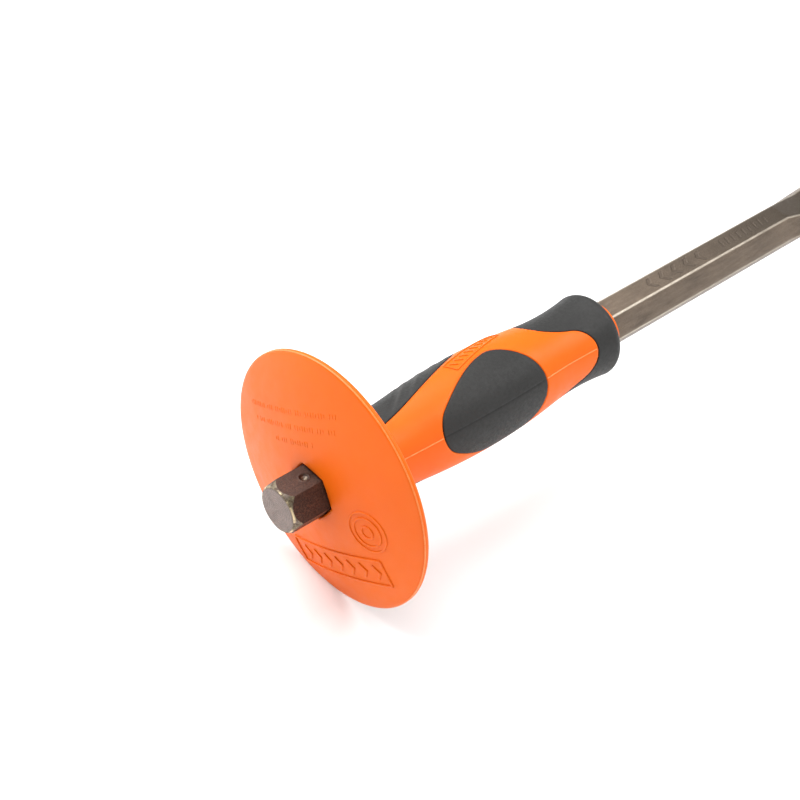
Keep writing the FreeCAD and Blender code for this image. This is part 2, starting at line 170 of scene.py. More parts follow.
class MarkSizes(bpy.types.PropertyGroup):
    height: length("Mark height", 0.45 * MM, "Height of the raised marks")
    line: length("Mark line", 0.9 * MM, "Width of the raised marks")
    frame_low: length("Frame distance", 22 * MM, "From the bar to the raised frame")
    frame_high: length("Frame far side", 32 * MM, "From the bar to the frame's far side")
    frame_left: length("Frame left", 25 * MM, "Frame's reach away from the thumb's side")
    frame_right: length("Frame right", 21.5 * MM, "Frame's reach on the thumb's side")
    ring_side: length("Ring place", 21.5 * MM, "Ring emblem, towards the thumb's side")
    ring_low: length("Ring drop", 11.4 * MM, "Ring emblem, below the bar")
    ring_radius: length("Ring radius", 7.1 * MM, "Ring emblem")
    label_x: length("Label centre", 87 * MM, "Middle of the grip's label")
    label_long: length("Label length", 27 * MM, "Length of the grip's label")
    label_tall: length("Label height", 5.4 * MM, "Height of the grip's label")
    label_angle: FloatProperty(name="Label tilt", default=math.radians(-16.4), subtype="ANGLE",
                               description="Tilt of the label to the bar")
    label_round: FloatProperty(name="Label place", default=math.radians(3.2), subtype="ANGLE",
                               description="Middle of the label, round from the grip's top")
    seam_width: length("Seam width", 0.45 * MM, "Width of the mould seam's flash")
    seam_height: length("Seam height", 0.12 * MM, "Height of the mould seam's flash")


class Finishes(bpy.types.PropertyGroup):
    orange: colour("Orange plastic", (0.84, 0.140, 0.003), "Hard grip and guard")
    orange_deep: colour("Orange, deep", (0.80, 0.121, 0.002), "Its darker mottle")
    soft: colour("Soft grey", (0.015, 0.0147, 0.014), "Soft pieces")
    soft_dust: colour("Soft grey, dusty", (0.027, 0.0262, 0.025), "Lighter mottle of the soft pieces")
    brown: colour("Browned steel", (0.142, 0.105, 0.075), "Oxide on the shank")
    brown_dark: colour("Head oxide", (0.034, 0.0160, 0.0098), "Darker oxide at the head")
    bare: colour("Bare steel", (0.230, 0.186, 0.166), "Machined steel")
    golden: colour("Chamfer", (0.185, 0.150, 0.092), "Half-oxidised machined steel")
    # Lighter colour at the bar's corners: partly worn steel, partly a painted highlight along the ridges.
    edge_wear_and_highlight: colour("Worn edge", (0.50, 0.44, 0.36), "Rounded corners of the bar")
    flash: colour("Seam flash", (0.95, 0.34, 0.09), "Thin flash along the mould seam")


class StageSettings(bpy.types.PropertyGroup):
    camera_place: FloatVectorProperty(name="Camera place", default=(-0.2108, -0.2491, 0.3435),
                                      subtype="TRANSLATION", unit="LENGTH", precision=4,
                                      description="Where the camera stands")
    azimuth: FloatProperty(name="Azimuth", default=math.radians(-46.13), subtype="ANGLE",
                           description="Camera's place round the object, 0 looking along +Y")
    elevation: FloatProperty(name="Elevation", default=math.radians(42.09), subtype="ANGLE",
                             description="Camera's height above the horizon")
    roll: FloatProperty(name="Roll", default=math.radians(-6.13), subtype="ANGLE",
                        description="Camera's roll, clockwise positive")
    lens: FloatProperty(name="Lens", default=69.75, unit="CAMERA", description="Focal length")
    world: FloatProperty(name="Surround", default=0.35, min=0.0, description="Light of the white surround")
    floor_size: length("Floor size", 8.0, "Side of the floor")


GROUPS = {"chisel_bar_sizes": BarSizes, "chisel_grip_sizes": GripSizes,
          "chisel_soft_sizes": SoftSizes, "chisel_mark_sizes": MarkSizes,
          "chisel_finishes": Finishes, "chisel_stage": StageSettings}


# ---- meshes ---------------------------------------------------------------------------------
def new_piece(name, points, faces, material, node=None, attributes=None):
    """A smooth mesh object from point and face arrays, riding on the tool's one body."""
    mesh = bpy.data.meshes.new(name)
    faces = np.asarray(faces, dtype=np.int32)
    count, sides = faces.shape
    mesh.vertices.add(len(points))
    mesh.vertices.foreach_set("co", np.asarray(points, dtype=np.float32).ravel())
    mesh.loops.add(count * sides)
    mesh.loops.foreach_set("vertex_index", faces.ravel())
    mesh.polygons.add(count)
    mesh.polygons.foreach_set("loop_start", np.arange(0, count * sides, sides, dtype=np.int32))
    mesh.update(calc_edges=True)
    mesh.validate()
    mesh.shade_smooth()
    for key, values in (attributes or {}).items():
        layer = mesh.attributes.new(key, "FLOAT", "POINT")
        layer.data.foreach_set("value", np.asarray(values, dtype=np.float32).ravel())
    mesh.materials.append(material)
    piece = bpy.data.objects.new(name, mesh)
    bpy.context.scene.collection.objects.link(piece)
    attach(piece, "root")
    if node:
        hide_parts(node)
    return piece


def grid_faces(rows, columns, closed_rows=False):
    """Quads of a grid of rows by columns that closes on itself along its columns."""
    row_count = rows if closed_rows else rows - 1
    i, j = np.meshgrid(np.arange(row_count), np.arange(columns), indexing="ij")
    i_next = (i + 1) % rows
    j_next = (j + 1) % columns
    quads = np.stack([i * columns + j, i * columns + j_next,
                      i_next * columns + j_next, i_next * columns + j], axis=-1)
    return quads.reshape(-1, 4)


def fan_faces(ring, centre, flip=False):
    """Triangles from a closed ring of point numbers to one centre point."""
    after = np.roll(ring, -1)
    middle = np.full_like(ring, centre)
    return np.stack([after, ring, middle] if flip else [ring, after, middle], axis=-1)


def split_quads(quads, field):
    """Two triangles from each quad, cut along the diagonal whose ends lie on the field's zero line."""
    zero = np.abs(field) < 1e-12
    along = zero[quads[:, 1]] & zero[quads[:, 3]]
    first = np.where(along[:, None], quads[:, [0, 1, 3]], quads[:, [0, 1, 2]])
    second = np.where(along[:, None], quads[:, [1, 2, 3]], quads[:, [0, 2, 3]])
    return np.concatenate([first, second])


def kept_points(points, faces, *values):
    """The points that the faces use, with the faces renumbered, and the values that go with them."""
    used, faces = np.unique(faces, return_inverse=True)
    return points[used], faces.reshape(-1, 3), *[v[used] for v in values]


# ---- the grip's outline ---------------------------------------------------------------------
def grip_radius(s, x):
    """Radius of the grip at x: a hollow curve from the neck, the belly's curve, a hollow curve to
    the lip.  Each hollow curve's radius is the one that meets the belly's smoothly."""
    neck_drop = s.belly_radius - s.neck_radius
    waist_drop = s.belly_radius - s.waist_radius
    neck_sum = ((s.neck_x - s.belly_x) ** 2 + neck_drop ** 2) / (2 * neck_drop)
    waist_sum = ((s.waist_x - s.belly_x) ** 2 + waist_drop ** 2) / (2 * waist_drop)
    neck_bow = neck_sum - s.belly_bow
    waist_bow = waist_sum - s.belly_bow
    neck_join = s.belly_x + (s.neck_x - s.belly_x) * s.belly_bow / neck_sum
    waist_join = s.belly_x + (s.waist_x - s.belly_x) * s.belly_bow / waist_sum
    near_neck = np.clip(x, s.neck_x, neck_join) - s.neck_x
    rear = s.neck_radius + neck_bow - np.sqrt(neck_bow ** 2 - near_neck ** 2)
    middle = s.belly_radius - s.belly_bow + np.sqrt(s.belly_bow ** 2 - (x - s.belly_x) ** 2)
    front = s.waist_radius + waist_bow - np.sqrt(waist_bow ** 2 - (x - s.waist_x) ** 2)
    return np.where(x < neck_join, rear, np.where(x < waist_join, middle, front))


def dome_x(s, radius):
    """Place of the guard's front at a radius: an arc of the crown's radius from hub to rim."""
    hub, rim = hub_radius(s), s.guard_radius - s.rim_round
    middle = np.array([s.guard_x + s.guard_rise / 2, (hub + rim) / 2])
    chord = np.array([s.guard_rise, rim - hub])
    reach = math.sqrt(s.guard_crown ** 2 - (chord @ chord) / 4)
    centre = middle + np.array([chord[1], -chord[0]]) / np.linalg.norm(chord) * reach
    arc = centre[0] - np.sqrt(s.guard_crown ** 2 - (radius - centre[1]) ** 2)
    return np.where(radius < hub, s.guard_x, arc)


def hub_radius(s):
    sizes = bpy.context.scene.chisel_bar_sizes
    return sizes.across_flats / math.sqrt(3) + s.hub_margin


def arc_points(centre, radius, start, stop):
    """Points of an arc about a centre in the (x, radius) plane, angles in degrees."""
    angle = np.radians(np.linspace(start, stop, 25))
    return np.stack([centre[0] + radius * np.cos(angle), centre[1] + radius * np.sin(angle)], axis=1)


def line_points(start, stop, count=40):
    return np.linspace(start, stop, count)


class Outline:
    """A profile carried round the bar.  It is kept by its run, the length along it, and gives
    place, outward normal and hexagon share at any run."""

    def __init__(self, points, hexness):
        step = np.linalg.norm(np.diff(points, axis=0), axis=1)
        keep = np.concatenate([[True], step > 1e-7])
        points, hexness = points[keep], hexness[keep]
        step = np.linalg.norm(np.diff(points, axis=0), axis=1)
        self.run = np.concatenate([[0.0], np.cumsum(step)])
        self.points = points
        self.hexness = hexness
        slope = np.gradient(points, self.run, axis=0)
        slope /= np.linalg.norm(slope, axis=1, keepdims=True)
        self.normal = np.stack([-slope[:, 1], slope[:, 0]], axis=1)

    def at(self, run):
        """x, radius, normal along x, normal along the radius and hexagon share at each run."""
        columns = (self.points[:, 0], self.points[:, 1], self.normal[:, 0],
                   self.normal[:, 1], self.hexness)
        return [np.interp(run, self.run, column) for column in columns]

    def surface(self, run, angle, height=0.0):
        """Points of the turned surface, raised by height along its normal.  The radius runs from
        round to hexagonal with the hexagon share.  The angle goes from the top to the thumb's side."""
        x, radius, normal_x, normal_r, share = self.at(run)
        facet = np.mod(angle, math.pi / 3) - math.pi / 6
        hexagonal = radius / np.cos(facet)
        radius = radius * (1 - share) + hexagonal * share + height * normal_r
        return np.stack([x + height * normal_x, -radius * np.sin(angle), radius * np.cos(angle)],
                        axis=-1)


def grip_outline(s, bar):
    """The hard grip's whole profile: out over the guard's front, round its rim, down its back,
    along the grip, over the lip and nose, and back through the hexagonal bore.  Each stretch has
    its hexagon share.  Also the runs where the stretches that the pieces refer to start."""
    flat = bar.across_flats / 2
    hub = hub_radius(s)
    rim = s.guard_radius - s.rim_round
    rim_x = s.guard_x + s.guard_rise
    back_x = s.guard_x + s.hub_thick
    nose = bar.across_flats / math.sqrt(3) + s.nose_wall
    lip = float(grip_radius(s, np.array([s.lip_x]))[0])
    lip_round = min(s.lip_round, lip - nose - s.lip_flat)
    front_x = s.lip_x + lip_round
    edge = 0.35 * MM
    dome_r = np.linspace(hub, rim, 60)
    grip_x = np.linspace(s.neck_x, s.lip_x, 300)
    parts = {
        "mouth": (arc_points((s.guard_x + edge, flat + s.mouth_clear + edge), edge, 270, 180), 1.0),
        "hub": (line_points((s.guard_x, hub - edge), (s.guard_x, hub), 4), 0.0),
        "dome": (np.stack([dome_x(s, dome_r), dome_r], axis=1), 0.0),
        "rim": (arc_points((rim_x + s.rim_round, rim), s.rim_round, 175, 5), 0.0),
        "back": (line_points((rim_x + 2 * s.rim_round, rim), (back_x, s.neck_radius + s.root_round)), 0.0),
        "root": (arc_points((back_x + s.root_round, s.neck_radius + s.root_round), s.root_round,
                            180, 270), 0.0),
        "neck": (np.stack([grip_x, grip_radius(s, grip_x)], axis=1), 0.0),
        "lip": (arc_points((s.lip_x, lip - lip_round), lip_round, 82, 0), 0.0),
        "front": (line_points((front_x, lip - lip_round), (front_x, nose + edge), 6), 0.0),
        "nose": (line_points((front_x + edge, nose), (s.nose_x - edge, nose), 6), 0.0),
        "nose_edge": (arc_points((s.nose_x - edge, nose - edge), edge, 90, 0), 0.0),
        "bore_edge": (arc_points((s.nose_x - edge, flat + edge), edge, 0, -90), 1.0),
        "bore": (line_points((s.nose_x - 2 * edge, flat), (s.guard_x + s.mouth_depth, flat)), 1.0),
        "bore_mouth": (line_points((s.guard_x + s.mouth_depth, flat + s.mouth_clear),
                                   (s.guard_x + 2 * edge, flat + s.mouth_clear), 4), 1.0),
    }
    points = np.concatenate([part for part, share in parts.values()])
    hexness = np.concatenate([np.full(len(part), share) for part, share in parts.values()])
    outline = Outline(points, hexness)
    runs = {name: outline_run(outline, parts[name][0][0])
            for name in ("back", "root", "neck", "lip", "nose", "bore")}
    return outline, runs


def outline_run(outline, point):
    """The run of the outline's point nearest to the one given."""
    return float(outline.run[np.argmin(np.linalg.norm(outline.points - point, axis=1))])


# ---- outlines of the soft pieces, as signed distances -----------------------------------------
def circle_centre(start, stop, radius, side):
    """Centre of the arc of a radius through two points, on the left (1) or right (-1) of the chord."""
    start, stop = np.array(start), np.array(stop)
    chord = stop - start
    reach = math.sqrt(radius ** 2 - (chord @ chord) / 4)
    return (start + stop) / 2 + side * reach * np.array([-chord[1], chord[0]]) / np.linalg.norm(chord)


def palm_distance(soft, grip, points):
    """Signed distance to the palm pad's outline seen from above, negative on the pad: a straight
    edge beside the guard, a long bow, and a round front corner.  Known fault: the value jumps where
    y passes the corner's centre, so grip_grid misplaces a few points of the palm pad there."""
    start_x = grip.guard_x + grip.guard_rise + 2 * grip.rim_round
    x, y = points[..., 0], points[..., 1]
    bow_y = soft.palm_bow - soft.palm_edge
    reach = (soft.palm_turn_x - start_x) / soft.palm_bow
    height = math.sqrt(1 - reach ** 2)
    tip_x = soft.palm_turn_x - soft.palm_tip * reach
    tip_y = bow_y - (soft.palm_bow - soft.palm_tip) * height
    beside = -soft.palm_edge - y
    bow = np.hypot(x - start_x, y - bow_y) - soft.palm_bow
    corner = np.hypot(x - tip_x, y - tip_y) - soft.palm_tip
    ahead = x - tip_x - soft.palm_tip
    past_turn = (x - tip_x) * height > (tip_y - y) * reach
    return np.where(x < start_x, beside,
                    np.where(past_turn & (y < tip_y), corner, np.where(y < tip_y, bow,
                             np.where(x > tip_x, ahead, np.maximum(ahead, -grip.guard_radius)))))


def thumb_distance(soft, grip, points):
    """Signed distance to the thumb pad's egg-shaped outline seen from its side, negative on it."""
    x, y, z = points[..., 0], points[..., 1], np.abs(points[..., 2])
    reach = soft.thumb_x - soft.thumb_rear
    nose, half = soft.thumb_nose, soft.thumb_half
    side = (2 * reach * nose - reach ** 2 - half ** 2) / (2 * nose - 2 * half)
    share = nose / (side - nose)
    nose_x = soft.thumb_rear + nose
    join_x = nose_x - (reach - nose) * share
    front = np.hypot(x - soft.thumb_x, z) - half
    flank = np.hypot(x - soft.thumb_x, z + side - half) - side
    rear = np.hypot(x - nose_x, z) - nose
    past_join = (nose_x - x) * (side - half) > z * (reach - nose)
    egg = np.where(x > soft.thumb_x, front, np.where(past_join | (x < join_x), rear, flank))
    return np.where(y < 0, egg, grip.guard_radius)


def collar_distance(soft, grip, points):
    """Signed distance to the collar's rear edge seen from the side, negative on the collar: a
    round-ended notch whose sides flare out to the lobes above and below."""
    x, z = points[..., 0], np.abs(points[..., 2])
    end = (soft.tongue_x + soft.tongue_radius * math.cos(soft.tongue_angle),
           soft.tongue_radius * math.sin(soft.tongue_angle))
    lobe = (soft.lobe_x, grip.waist_radius + 1 * MM)
    centre = circle_centre(end, lobe, soft.lobe_bow, -1)
    notch = soft.tongue_radius - np.hypot(x - soft.tongue_x, z)
    flared = np.hypot(x - centre[0], z - centre[1]) - soft.lobe_bow
    return np.where((x > end[0]) | (z < end[1]) & (x > soft.tongue_x), notch,
                    np.where(x > centre[0], notch, flared))


# ---- the grid that the hard and soft pieces share ---------------------------------------------
def spaced(stops):
    """Run values from (start, stop, step) stretches, without repeating the joins."""
    runs = [np.linspace(start, stop, max(2, int(round((stop - start) / step)) + 1))[:-1]
            for start, stop, step in stops]
    return np.concatenate(runs)


def grip_grid(settings):
    """Grid of the grip's surface, with the points nearest each soft piece's edge moved on to it.
    Returns the outline, the grid's runs and angles, and each soft piece's distances on it."""
    bar, s, soft = settings.chisel_bar_sizes, settings.chisel_grip_sizes, settings.chisel_soft_sizes
    outline, runs = grip_outline(s, bar)
    skirt_run = runs["back"] + soft.skirt_margin - s.rim_round
    stretches = [(0, runs["back"], 0.75 * MM), (runs["back"], runs["root"], 0.8 * MM),
                 (runs["root"], runs["neck"], 0.55 * MM), (runs["neck"], runs["lip"], 0.43 * MM),
                 (runs["lip"], runs["bore"], 0.35 * MM), (runs["bore"], outline.run[-1], 12 * MM)]
    run_values = spaced(stretches)
    angle_values = np.arange(s.around) * 2 * math.pi / s.around
    run, angle = (g.copy() for g in np.meshgrid(run_values, angle_values, indexing="ij"))
    outer = (run > runs["back"] - 1 * MM) & (run < runs["lip"])

    def distances(run, angle):
        points = outline.surface(run, angle)
        far = s.guard_radius
        on_skirt = np.maximum(palm_distance(soft, s, points), skirt_run - run)
        palm = np.where(run < runs["back"] - 1 * MM, far, np.where(run < runs["lip"], on_skirt, far))
        thumb = np.where(outer, thumb_distance(soft, s, points), far)
        collar = np.where(run < runs["neck"], far, collar_distance(soft, s, points))
        collar = np.where(run > runs["nose"], run - runs["nose"], collar)
        return np.stack([palm, thumb, collar])

    row_step = np.gradient(run_values)[:, None]
    radius = outline.at(run)[1]
    column_step = radius * 2 * math.pi / s.around
    nudge = 0.02 * MM
    field = distances(run, angle)
    nearest = np.abs(field).argmin(axis=0)
    take = nearest[None]
    for walk in range(4):
        here = np.take_along_axis(field, take, 0)[0]
        along = (np.take_along_axis(distances(run + nudge, angle), take, 0)[0] - here) / nudge
        across = (np.take_along_axis(distances(run, angle + nudge / radius), take, 0)[0] - here) / nudge
        steep = np.maximum(along ** 2 + across ** 2, 0.05)
        reach = 0.5 * (np.abs(along) * row_step + np.abs(across) * column_step) / np.sqrt(steep)
        if walk == 0:
            near = (np.abs(here) / np.sqrt(steep) < 0.62 * reach) & (run < runs["nose"] + 1 * MM)
        run += np.where(near, -here * along / steep, 0)
        angle += np.where(near, -here * across / steep / radius, 0)
        field = distances(run, angle)
    for index in range(3):
        field[index][near & (nearest == index)] = 0.0
    return outline, runs, run, angle, field


GRID = {}


def shared_grid(settings):
    """The grip's grid, worked out once."""
    if not GRID:
        GRID["grid"] = grip_grid(settings)
    return GRID["grid"]


def turn_upright(points, turn):
    """Points of the upright grip turned about the bar into the tool's own frame."""
    y, z = points[..., 1], points[..., 2]
    cos, sin = math.cos(turn), math.sin(turn)
    return np.stack([points[..., 0], y * cos - z * sin, y * sin + z * cos], axis=-1)


def soft_sheet(settings, index, height, *values):
    """Triangles of one soft piece: the part of the shared grid where its distance isn't positive.
    Its edge points sink by the crease's depth.  Returns points, faces and the values given."""
    outline, _, run, angle, field = shared_grid(settings)
    soft = settings.chisel_soft_sizes
    distance = field[index].ravel()
    triangles = split_quads(grid_faces(*run.shape, closed_rows=True), distance)
    inside = (distance[triangles] <= 0).all(axis=1)
    inside &= (distance[triangles] < 0).any(axis=1)
    raised = height - np.where(field[index] == 0, soft.crease, 0.0)
    points = outline.surface(run, angle, raised).reshape(-1, 3)
    return kept_points(points, triangles[inside], *[v.ravel() for v in values])


def thicken(piece, depth):
    """Give a sheet its wall, inwards."""
    wall = piece.modifiers.new("wall", "SOLIDIFY")
    wall.thickness = depth
    wall.offset = -1.0


# ---- materials --------------------------------------------------------------------------------
class Shader:
    """A Principled material with short ways to add nodes."""

    def __init__(self, name, roughness, metallic=0.0):
        self.material = bpy.data.materials.new(name)
        self.material.use_nodes = True
        self.nodes = self.material.node_tree.nodes
        self.links = self.material.node_tree.links
        self.main = self.nodes["Principled BSDF"]
        self.main.inputs["Roughness"].default_value = roughness
        self.main.inputs["Metallic"].default_value = metallic
        self.place = self.nodes.new("ShaderNodeTexCoord").outputs["Object"]

    def node(self, kind, inputs=None, **settings):
        made = self.nodes.new("ShaderNode" + kind)
        for key, setting in settings.items():
            setattr(made, key, setting)
        for key, source in (inputs or {}).items():
            if isinstance(source, bpy.types.NodeSocket):
                self.links.new(source, made.inputs[key])
            else:
                made.inputs[key].default_value = source
        return made

    def noise(self, scale, detail=3.0, roughness=0.55, place=None):
        """Noise of about 1/scale metres."""
        return self.node("TexNoise", {"Vector": place or self.place, "Scale": scale,
                                      "Detail": detail, "Roughness": roughness}).outputs["Fac"]

    def remap(self, source, low, high, to_low=0.0, to_high=1.0, smooth=False):
        made = self.node("MapRange", {"Value": source, "From Min": low, "From Max": high,
                                      "To Min": to_low, "To Max": to_high},
                         interpolation_type="SMOOTHSTEP" if smooth else "LINEAR")
        return made.outputs["Result"]

    def math(self, operation, *sources):
        made = self.node("Math", operation=operation)
        for slot, source in enumerate(sources):
            if isinstance(source, bpy.types.NodeSocket):
                self.links.new(source, made.inputs[slot])
            else:
                made.inputs[slot].default_value = source
        return made.outputs["Value"]

    def mix(self, factor, first, second):
        """A colour between two, by a factor socket."""
        made = self.node("Mix", data_type="RGBA")
        for key, source in ((0, factor), (6, first), (7, second)):
            if isinstance(source, bpy.types.NodeSocket):
                self.links.new(source, made.inputs[key])
            else:
                made.inputs[key].default_value = (*source, 1.0) if key else source
        return made.outputs[2]

    def attribute(self, name):
        return self.node("Attribute", attribute_name=name).outputs["Fac"]

    def axes(self):
        """The place's x, y and z."""
        return self.node("SeparateXYZ", {"Vector": self.place}).outputs

    def paint(self, source):
        self.links.new(source, self.main.inputs["Base Color"])

    def polish(self, source):
        self.links.new(source, self.main.inputs["Roughness"])

    def bump(self, *heights):
        """Bumps from (height socket, depth in metres, strength), each laid on the one before."""
        normal = None
        for height, distance, strength in heights:
            made = self.node("Bump", {"Height": height, "Distance": distance, "Strength": strength})
            if normal:
                self.links.new(normal, made.inputs["Normal"])
            normal = made.outputs["Normal"]
        self.links.new(normal, self.main.inputs["Normal"])


def shade(colour, factor):
    """A colour made lighter or darker."""
    return tuple(min(1.0, c * factor) for c in colour)


MATERIALS = {}


def kept_material(make):
    """Make a material once and hand out the same one after that."""
    def made(settings):
        if make.__name__ not in MATERIALS:
            MATERIALS[make.__name__] = make(settings)
        return MATERIALS[make.__name__]
    return made


@kept_material
def moulded_orange(settings):
    """Satin orange plastic: slow mottle, spark-eroded grain and faint flow marks."""
    paints = settings.chisel_finishes
    s = Shader("moulded_orange", 0.42)
    mottle = s.remap(s.noise(28, 4), 0.3, 0.75)
    s.paint(s.mix(mottle, paints.orange, paints.orange_deep))
    s.polish(s.remap(s.noise(190, 3), 0.3, 0.7, 0.38, 0.50))
    s.main.inputs["Subsurface Weight"].default_value = 0.12
    s.main.inputs["Subsurface Radius"].default_value = (1.0, 0.25, 0.06)
    s.main.inputs["Subsurface Scale"].default_value = 2.2 * MM
    s.main.inputs["Specular IOR Level"].default_value = 0.20
    grain = s.noise(3600, 2)
    ripple = s.noise(140, 2)
    s.bump((ripple, 0.25 * MM, 0.25), (grain, 0.05 * MM, 0.45))
    return s.material


@kept_material
def seam_plastic(settings):
    """The thin, paler plastic of the mould seam's flash."""
    paints = settings.chisel_finishes
    s = Shader("seam_plastic", 0.4)
    s.paint(s.mix(s.noise(700, 2), paints.flash, paints.orange))
    return s.material


@kept_material
def soft_grey(settings):
    """Matte dark elastomer: fine pebbled grain, a dusty bloom, a painted highlight on the palm ribs'
    crests, and painted shade in the edge creases and along the parting line.
    """
    paints = settings.chisel_finishes
    s = Shader("soft_grey", 0.62)
    bloom = s.remap(s.noise(60, 5), 0.35, 0.8)
    speck = s.remap(s.noise(5200, 2), 0.35, 0.75)
    tone = s.math("MULTIPLY", s.math("ADD", bloom, speck), 0.5)
    plain = s.mix(tone, paints.soft, paints.soft_dust)
    # Painted highlight: the palm ribs' crests are painted three times lighter than the dusty grey.
    crest_highlight = s.mix(s.attribute("crest_highlight"), plain, shade(paints.soft_dust, 3.0))
    # Painted shade: the creases at each soft piece's edge and the thumb pad's parting line are painted near
    # black.
    s.paint(s.mix(s.attribute("crease_shade"), crest_highlight, shade(paints.soft, 0.25)))
    s.polish(s.remap(s.noise(900, 3), 0.3, 0.7, 0.48, 0.66))
    s.main.inputs["Specular IOR Level"].default_value = 0.33
    grain = s.noise(4200, 3, 0.6)
    s.bump((s.noise(120, 2), 0.25 * MM, 0.3), (grain, 0.09 * MM, 0.7))
    return s.material


@kept_material
def browned_steel(settings):
    """Oxide-browned bar, bare where the piece's machined attribute says so, with turning rings on
    its face and plain stamped ticks on the top flat."""
    paints, bar = settings.chisel_finishes, settings.chisel_bar_sizes
    s = Shader("browned_steel", 0.45)
    x, y, z = s.axes()
    stretched = s.node("Mapping", {"Vector": s.place, "Scale": (0.12, 1.0, 1.0)}).outputs[0]
    streak = s.remap(s.noise(900, 4, place=stretched), 0.3, 0.72)
    speck = s.remap(s.noise(1700, 5, 0.75), 0.44, 0.58)
    patch = s.remap(s.noise(75, 4), 0.35, 0.7)
    machined = s.attribute("machined")
    ragged = s.math("ADD", machined, s.remap(s.noise(800, 5, 0.65), 0.3, 0.7, -0.30, 0.30))
    bright = s.remap(ragged, 0.40, 0.62)
    ticks = stamped_ticks(s, x, y, z, bar)
    steel = s.mix(bright, oxide_colour(s, paints, x, streak, speck, patch),
                  machined_colour(s, paints, x, machined))
    s.paint(s.mix(s.math("MULTIPLY", ticks, 0.6), steel, shade(paints.brown, 0.62)))
    s.links.new(s.remap(bright, 0.0, 1.0, 0.45, 0.8), s.main.inputs["Metallic"])
    s.polish(s.remap(s.noise(1700, 3), 0.3, 0.7, 0.34, 0.50))
    s.bump((patch, 0.2 * MM, 0.3), (speck, 0.05 * MM, 0.55), (streak, 0.04 * MM, 0.35),
           (turning_rings(s, x, y, z), 0.05 * MM, 0.8), (ticks, -0.3 * MM, 1.0))
    return s.material


def oxide_colour(s, paints, x, streak, speck, patch):
    """Brown scale: darker and redder at the head, speckled and streaked along the shank, darker on the top
    and bottom flats towards the blade, and lighter at the bar's corners, partly worn and partly a painted
    highlight along the ridges."""
    shank = s.mix(streak, s.mix(patch, shade(paints.brown, 0.62), paints.brown),
                  s.mix(speck, paints.brown, shade(paints.brown, 1.35)))
    head = s.mix(s.math("MULTIPLY", speck, patch), paints.brown_dark, shade(paints.brown_dark, 3.2))
    # The top and bottom flats are painted darker from 150 to 240 mm along the bar.
    darker_flats = s.math("MULTIPLY", s.attribute("broad"), s.remap(x, 0.150, 0.240, 0.0, 1.0))
    forged = s.mix(darker_flats, shank, tuple(c * f for c, f in zip(paints.brown, (0.42, 0.42, 0.40))))
    oxide = s.mix(s.remap(x, 0.02, 0.12, smooth=True), head, forged)
    # Painted highlight along the bar's rounded corners, mixed with real wear: lighter where the corner
    # attribute is high, patchy by noise, weaker towards the blade, none over the first 100 mm.
    edge = s.remap(s.attribute("corner"), 0.925, 0.975, smooth=True)
    edge = s.math("MULTIPLY", edge, s.remap(s.noise(300, 3), 0.2, 0.6, 0.45, 0.9))
    edge = s.math("MULTIPLY", edge, s.remap(x, 0.17, 0.25, 1.0, 0.45))
    return s.mix(s.math("MULTIPLY", edge, s.remap(x, 0.1, 0.14)), oxide, paints.edge_wear_and_highlight)


def machined_colour(s, paints, x, machined):
    """Bare steel, golden where it is half oxidised, with grey patches and bright scratches, and painted
    glints: bright golden flecks round the face's edge."""
    fully = s.remap(machined, 0.7, 0.95)
    cut = s.mix(fully, paints.golden, paints.bare)
    bright_cut = s.mix(fully, shade(paints.golden, 2.2), paints.bare)
    scratched = s.mix(s.remap(s.noise(1500, 4), 0.55, 0.75), cut, bright_cut)
    bare = s.mix(s.remap(s.noise(420, 4), 0.40, 0.75), scratched, shade(paints.bare, 0.72))
    # Painted glints: a ragged band of very bright gold 0.1 to 0.9 mm behind the face.
    edge_glint = s.math("MULTIPLY", s.remap(x, 0.9 * MM, 0.3 * MM), s.remap(x, 0.10 * MM, 0.22 * MM))
    edge_glint = s.math("MULTIPLY", edge_glint, s.remap(s.noise(340, 3), 0.46, 0.56))
    return s.mix(edge_glint, bare, shade(paints.golden, 4.6))


def turning_rings(s, x, y, z):
    """Fine wavering rings left by the lathe on the striking face."""
    radius = s.math("SQRT", s.math("ADD", s.math("MULTIPLY", y, y), s.math("MULTIPLY", z, z)))
    wobble = s.math("ADD", radius, s.math("MULTIPLY", s.noise(260, 2), 0.9 * MM))
    turning = s.math("SINE", s.math("MULTIPLY", wobble, 7200.0))
    return s.math("MULTIPLY", turning, s.remap(x, 0.3 * MM, 0.1 * MM))


def stamped_ticks(s, x, y, z, bar):
    """Mask of two groups of plain slanted ticks pressed into the bar's top flat."""
    leaning = s.math("SUBTRACT", x, s.math("MULTIPLY", y, 0.35))
    pointed = s.math("SUBTRACT", x, s.math("MULTIPLY", s.math("ABSOLUTE", y), 0.8))
    groups = []
    for place, start, count, pitch, half in ((pointed, 167 * MM, 5, 6.8 * MM, 2.7 * MM),
                                             (leaning, 210 * MM, 9, 3.3 * MM, 1.8 * MM)):
        along = s.math("DIVIDE", s.math("SUBTRACT", place, start), pitch)
        stroke = s.remap(s.math("ABSOLUTE", s.math("SUBTRACT", s.math("FRACT", along), 0.5)), 0.17, 0.09)
        inside = s.math("MULTIPLY", s.math("GREATER_THAN", along, 0.0), s.math("LESS_THAN", along, count))
        tall = s.remap(s.math("ABSOLUTE", y), half, half - 0.3 * MM)
        groups.append(s.math("MULTIPLY", stroke, s.math("MULTIPLY", inside, tall)))
    on_top = s.math("GREATER_THAN", z, bar.across_flats * 0.49)
    return s.math("MULTIPLY", s.math("MAXIMUM", *groups), on_top)


